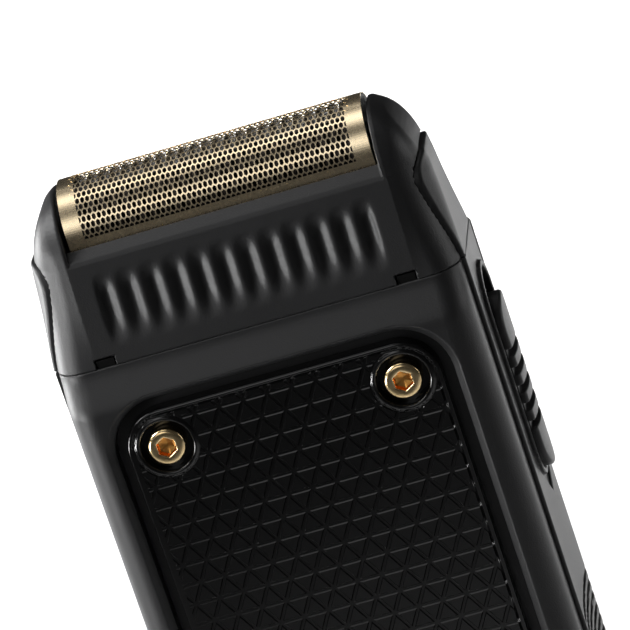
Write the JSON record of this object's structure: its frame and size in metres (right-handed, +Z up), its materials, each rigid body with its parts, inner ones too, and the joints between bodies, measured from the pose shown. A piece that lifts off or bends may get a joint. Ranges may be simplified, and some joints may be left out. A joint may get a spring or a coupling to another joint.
{
  "type": "foil shaver",
  "caption": "Cordless foil shaver with a removable single-foil head, oscillating cutter, side thumb slider, side release buttons and a tiled front plate.",
  "frame": {"origin": "centre of the flat base, below the foil's axis", "axes": "+Z up along the body to the foil, -Y out of the front plate, +X to the right seen from the front"},
  "size_m": [0.0655, 0.03, 0.15],
  "materials": {
    "black_plastic": "fine satin-matte texture",
    "gloss_plate": "glossy",
    "gold_metal": "polished",
    "gold_foil": "polished",
    "frame_plastic": "matte",
    "steel": "brushed",
    "zinc_screw": "satin",
    "spring_steel": "satin",
    "brass": "machined",
    "rotor_iron": "matte",
    "cell_wrap": "satin",
    "nickel": "satin",
    "board_green": "satin",
    "clear_window": "frosted"
  },
  "bodies": {
    "body": {"front_shell": "black_plastic", "rear_shell": "black_plastic", "base_cap": "black_plastic", "base_screws": "zinc_screw", "charge_socket": "steel", "charge_window": "clear_window", "front_plate": "gloss_plate", "plate_screws": "gold_metal", "case_screws": "zinc_screw", "deck_plate": "frame_plastic", "deck_screws": "zinc_screw", "guide_rails": "steel", "motor_can": "steel", "motor_end_cap": "frame_plastic", "motor_bracket": "frame_plastic", "motor_screws": "zinc_screw", "battery_cell": "cell_wrap", "battery_cradle": "frame_plastic", "battery_tabs": "nickel", "main_board": "board_green", "switch_body": "frame_plastic"},
    "rotor": {"motor_rotor": "rotor_iron", "motor_shaft": "steel", "eccentric_cam": "brass"},
    "bridge": {"drive_bridge": "frame_plastic", "cutter_springs": "spring_steel"},
    "cutter": {"cutter_carrier": "frame_plastic", "cutter_blades": "steel"},
    "head": {"head_housing": "black_plastic", "foil_retainer": "frame_plastic", "foil_springs": "spring_steel", "retaining_clips": "spring_steel", "button_springs": "spring_steel"},
    "foil_cassette": {"foil_frame": "frame_plastic", "foil": "gold_foil"},
    "button_left": {"release_button_left": "black_plastic"},
    "button_right": {"release_button_right": "black_plastic"},
    "switch": {"power_slider": "black_plastic", "switch_knob": "frame_plastic"}
  },
  "joints": [
    {"name": "head_release", "type": "slide", "parent": "body", "child": "head", "axis": [0, 0, 1], "range_m": [0, 0.025], "deforming": ["retaining_clips"]},
    {"name": "foil_float", "type": "slide", "parent": "head", "child": "foil_cassette", "axis": [0, 0, -1], "range_m": [0, 0.0012], "stiffness_N_per_m": 600, "springref_m": -0.001, "deforming": ["foil_springs"]},
    {"name": "release_left", "type": "slide", "parent": "head", "child": "button_left", "axis": [1, 0, 0], "range_m": [0, 0.0008], "stiffness_N_per_m": 1200, "springref_m": -0.001, "deforming": ["button_springs"]},
    {"name": "release_right", "type": "slide", "parent": "head", "child": "button_right", "axis": [-1, 0, 0], "range_m": [0, 0.0008], "stiffness_N_per_m": 1200, "springref_m": -0.001},
    {"name": "motor_spin", "type": "hinge", "parent": "body", "child": "rotor", "pos_m": [0, 0, 0.09], "axis": [0, 0, 1], "continuous": true},
    {"name": "cutter_drive", "type": "slide", "parent": "body", "child": "bridge", "axis": [1, 0, 0], "range_m": [-0.001, 0.001]},
    {"name": "cutter_float", "type": "slide", "parent": "bridge", "child": "cutter", "axis": [0, 0, -1], "range_m": [0, 0.0012], "deforming": ["cutter_springs"]},
    {"name": "power_switch", "type": "slide", "parent": "body", "child": "switch", "axis": [0, 0, 1], "range_m": [0, 0.004]}
  ],
  "couplings": [
    {"joint": "cutter_float", "follows": "foil_float", "ratio": 1}
  ]
}
